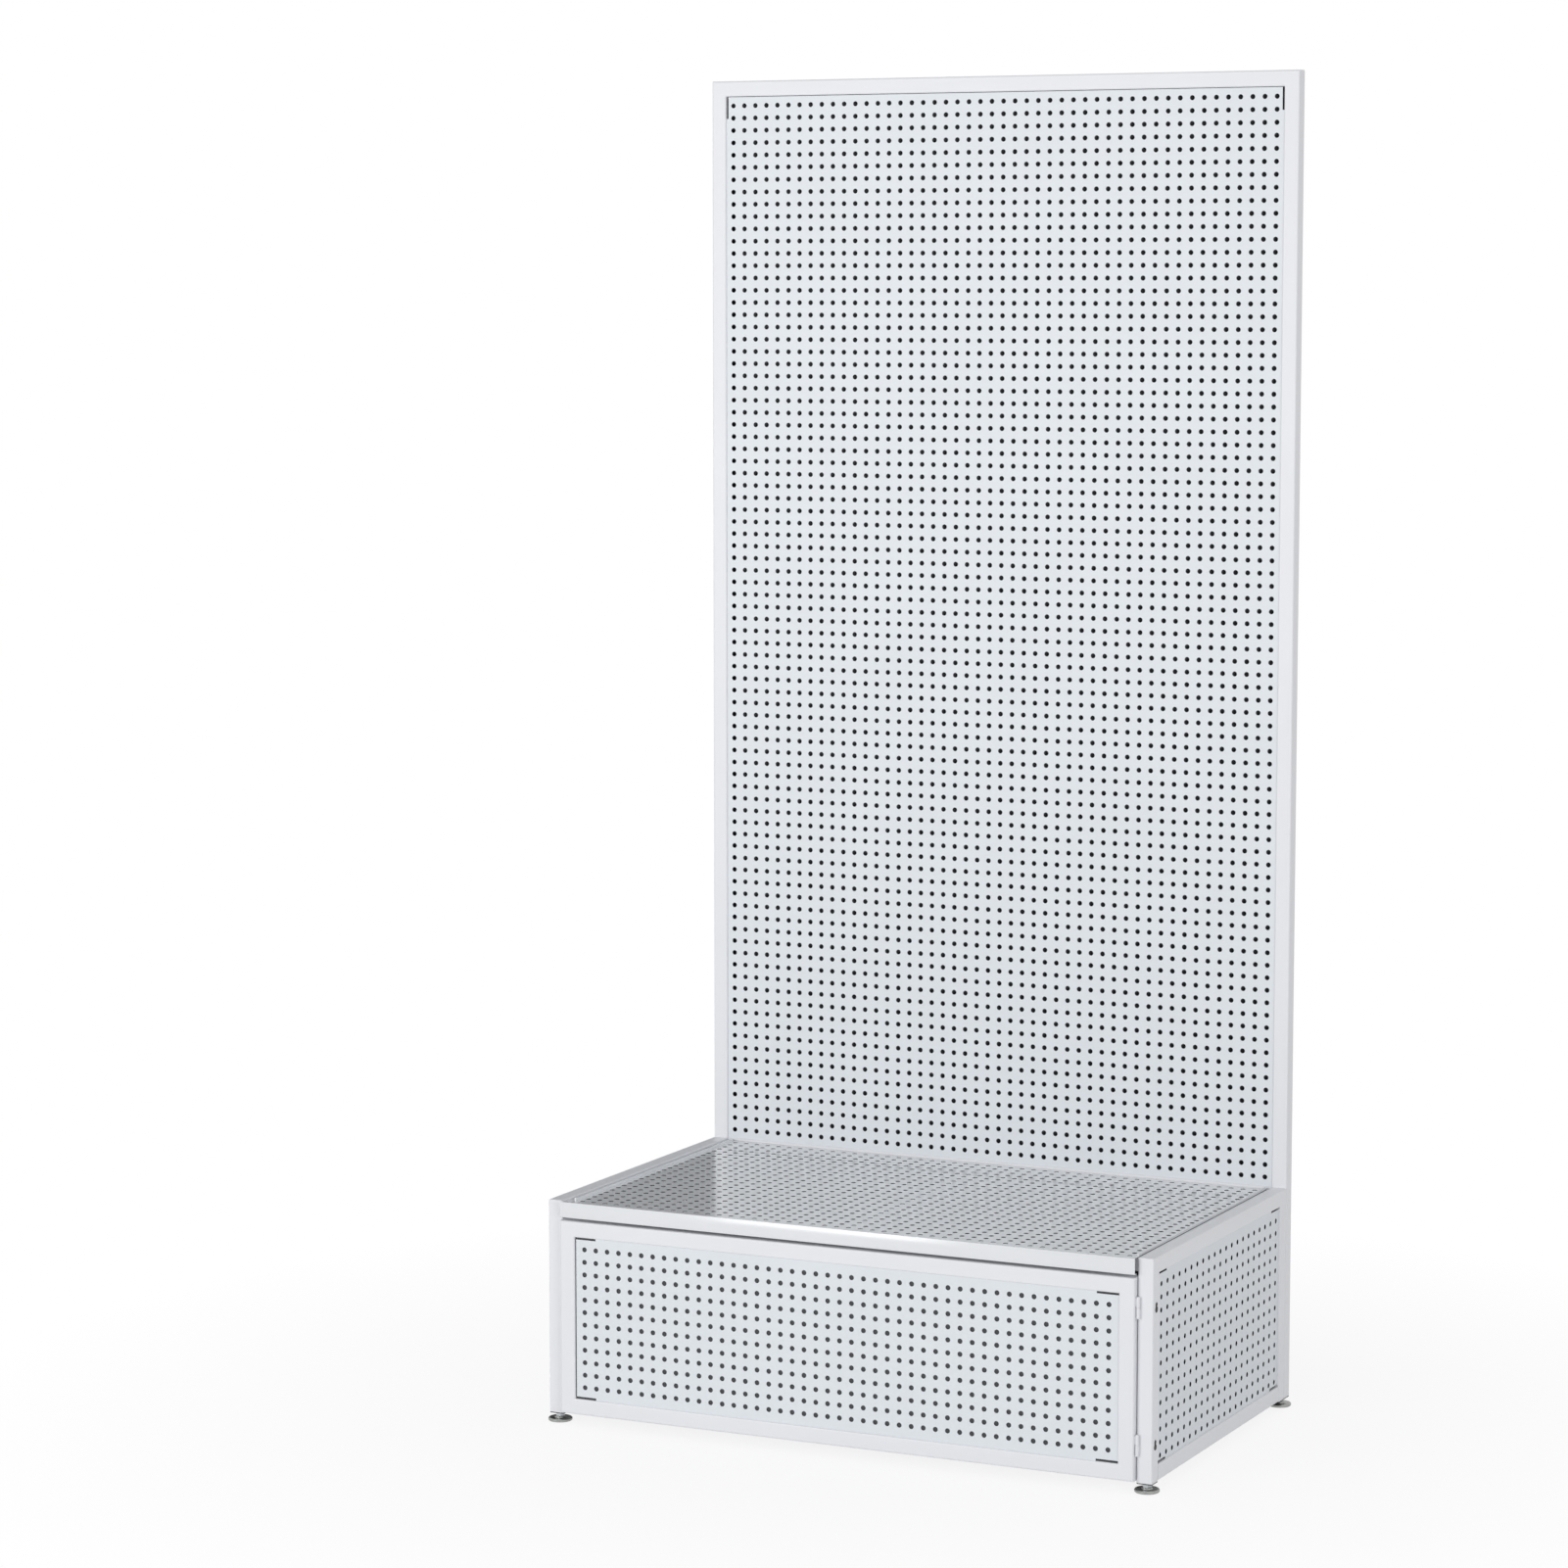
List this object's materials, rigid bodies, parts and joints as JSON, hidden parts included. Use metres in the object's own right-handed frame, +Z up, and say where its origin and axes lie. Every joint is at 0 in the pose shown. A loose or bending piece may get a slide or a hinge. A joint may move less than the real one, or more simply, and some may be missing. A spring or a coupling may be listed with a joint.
{
  "type": "pegboard display rack",
  "caption": "Free-standing pegboard rack: a tall perforated back in a square-tube frame on a perforated base cabinet with a hinged door and levelling feet.",
  "frame": {"origin": "on the floor, in the middle of the footprint of cabinet and feet", "axes": "+Z up, +X to the right of someone facing the rack, +Y towards its back"},
  "size_m": [1.028, 0.6216, 2.11],
  "materials": {
    "white_powder_coat_tube": "white satin powder coat on welded square steel tube",
    "white_powder_coat_sheet": "white satin powder coat on punched steel sheet",
    "white_powder_coat_tray": "white satin powder coat, a little greyer, on the folded deck tray",
    "graphite_powder_coat_sheet": "graphite powder coat on the plain rear sheets and the cabinet floor",
    "white_powder_coat_hinge": "white powder coat over welded barrel hinges",
    "zinc_plated_steel": "bright zinc plate",
    "zinc_plated_foot": "dull zinc plate",
    "white_nylon_washer": "plain white nylon",
    "black_nylon": "moulded black nylon",
    "catch_plastic": "moulded white plastic",
    "magnet_steel": "steel-faced ferrite magnet"
  },
  "bodies": {
    "stand": {"upright_left": "white_powder_coat_tube", "upright_right": "white_powder_coat_tube", "upright_top_rail": "white_powder_coat_tube", "upright_middle_rail": "white_powder_coat_tube", "upright_bottom_rail": "white_powder_coat_tube", "back_panel_1": "white_powder_coat_sheet", "back_panel_2": "white_powder_coat_sheet", "back_panel_3": "white_powder_coat_sheet", "back_panel_4": "white_powder_coat_sheet", "back_panel_5": "white_powder_coat_sheet", "back_panel_lower": "graphite_powder_coat_sheet", "back_cover": "graphite_powder_coat_sheet", "base_post_front_left": "white_powder_coat_tube", "base_post_rear_left": "white_powder_coat_tube", "side_rail_top_left": "white_powder_coat_tube", "side_rail_bottom_left": "white_powder_coat_tube", "base_post_front_right": "white_powder_coat_tube", "base_post_rear_right": "white_powder_coat_tube", "side_rail_top_right": "white_powder_coat_tube", "side_rail_bottom_right": "white_powder_coat_tube", "side_panel_left": "white_powder_coat_sheet", "side_panel_right": "white_powder_coat_sheet", "deck_tray": "white_powder_coat_tray", "deck_ledge_left": "white_powder_coat_tube", "deck_ledge_right": "white_powder_coat_tube", "front_tie_top": "white_powder_coat_tube", "front_tie_bottom": "white_powder_coat_tube", "rear_tie_top": "white_powder_coat_tube", "rear_tie_bottom": "white_powder_coat_tube", "deck_bearer": "white_powder_coat_tube", "cabinet_floor": "graphite_powder_coat_sheet", "hinge_lower_post_half": "white_powder_coat_hinge", "hinge_upper_post_half": "white_powder_coat_hinge", "hinge_pins": "zinc_plated_steel", "hinge_washers": "white_nylon_washer", "catch_body": "catch_plastic", "catch_magnet": "magnet_steel", "catch_screws": "zinc_plated_steel", "foot_lock_nuts": "zinc_plated_steel", "foot_inserts": "black_nylon", "rear_post_caps": "black_nylon", "joining_bolts": "zinc_plated_steel", "joining_nuts": "zinc_plated_steel"},
    "door": {"door_stile_left": "white_powder_coat_tube", "door_stile_right": "white_powder_coat_tube", "door_rail_bottom": "white_powder_coat_tube", "door_rail_top": "white_powder_coat_tube", "door_panel": "white_powder_coat_sheet", "strike_plate": "zinc_plated_steel", "hinge_lower_door_half": "white_powder_coat_hinge", "hinge_upper_door_half": "white_powder_coat_hinge"},
    "foot_pad_body_front_left": {"foot_pad_front_left": "zinc_plated_foot"},
    "foot_stem_body_front_left": {"foot_stem_front_left": "zinc_plated_foot"},
    "foot_pad_body_front_right": {"foot_pad_front_right": "zinc_plated_foot"},
    "foot_stem_body_front_right": {"foot_stem_front_right": "zinc_plated_foot"},
    "foot_pad_body_rear_left": {"foot_pad_rear_left": "zinc_plated_foot"},
    "foot_stem_body_rear_left": {"foot_stem_rear_left": "zinc_plated_foot"},
    "foot_pad_body_rear_right": {"foot_pad_rear_right": "zinc_plated_foot"},
    "foot_stem_body_rear_right": {"foot_stem_rear_right": "zinc_plated_foot"}
  },
  "joints": [
    {"name": "door_swing", "type": "hinge", "parent": "stand", "child": "door", "pos_m": [0.4847, -0.30395, 0.185], "axis": [0, 0, 1], "range_deg": [0, 110]},
    {"name": "foot_lift_front_left", "type": "slide", "parent": "stand", "child": "foot_pad_body_front_left", "axis": [0, 0, 1], "range_m": [-0.01, 0]},
    {"name": "foot_turn_front_left", "type": "hinge", "parent": "foot_pad_body_front_left", "child": "foot_stem_body_front_left", "pos_m": [-0.495, -0.28825, 0.03], "axis": [0, 0, 1], "range_deg": [-2881, 1]},
    {"name": "foot_lift_front_right", "type": "slide", "parent": "stand", "child": "foot_pad_body_front_right", "axis": [0, 0, 1], "range_m": [-0.01, 0]},
    {"name": "foot_turn_front_right", "type": "hinge", "parent": "foot_pad_body_front_right", "child": "foot_stem_body_front_right", "pos_m": [0.495, -0.28825, 0.03], "axis": [0, 0, 1], "range_deg": [-2881, 1]},
    {"name": "foot_lift_rear_left", "type": "slide", "parent": "stand", "child": "foot_pad_body_rear_left", "axis": [0, 0, 1], "range_m": [-0.01, 0]},
    {"name": "foot_turn_rear_left", "type": "hinge", "parent": "foot_pad_body_rear_left", "child": "foot_stem_body_rear_left", "pos_m": [-0.495, 0.29175, 0.03], "axis": [0, 0, 1], "range_deg": [-2881, 1]},
    {"name": "foot_lift_rear_right", "type": "slide", "parent": "stand", "child": "foot_pad_body_rear_right", "axis": [0, 0, 1], "range_m": [-0.01, 0]},
    {"name": "foot_turn_rear_right", "type": "hinge", "parent": "foot_pad_body_rear_right", "child": "foot_stem_body_rear_right", "pos_m": [0.495, 0.29175, 0.03], "axis": [0, 0, 1], "range_deg": [-2881, 1]}
  ],
  "couplings": [
    {"joint": "foot_turn_front_left", "follows": "foot_lift_front_left", "rad_per_m": 5026.5},
    {"joint": "foot_turn_front_right", "follows": "foot_lift_front_right", "rad_per_m": 5026.5},
    {"joint": "foot_turn_rear_left", "follows": "foot_lift_rear_left", "rad_per_m": 5026.5},
    {"joint": "foot_turn_rear_right", "follows": "foot_lift_rear_right", "rad_per_m": 5026.5}
  ]
}
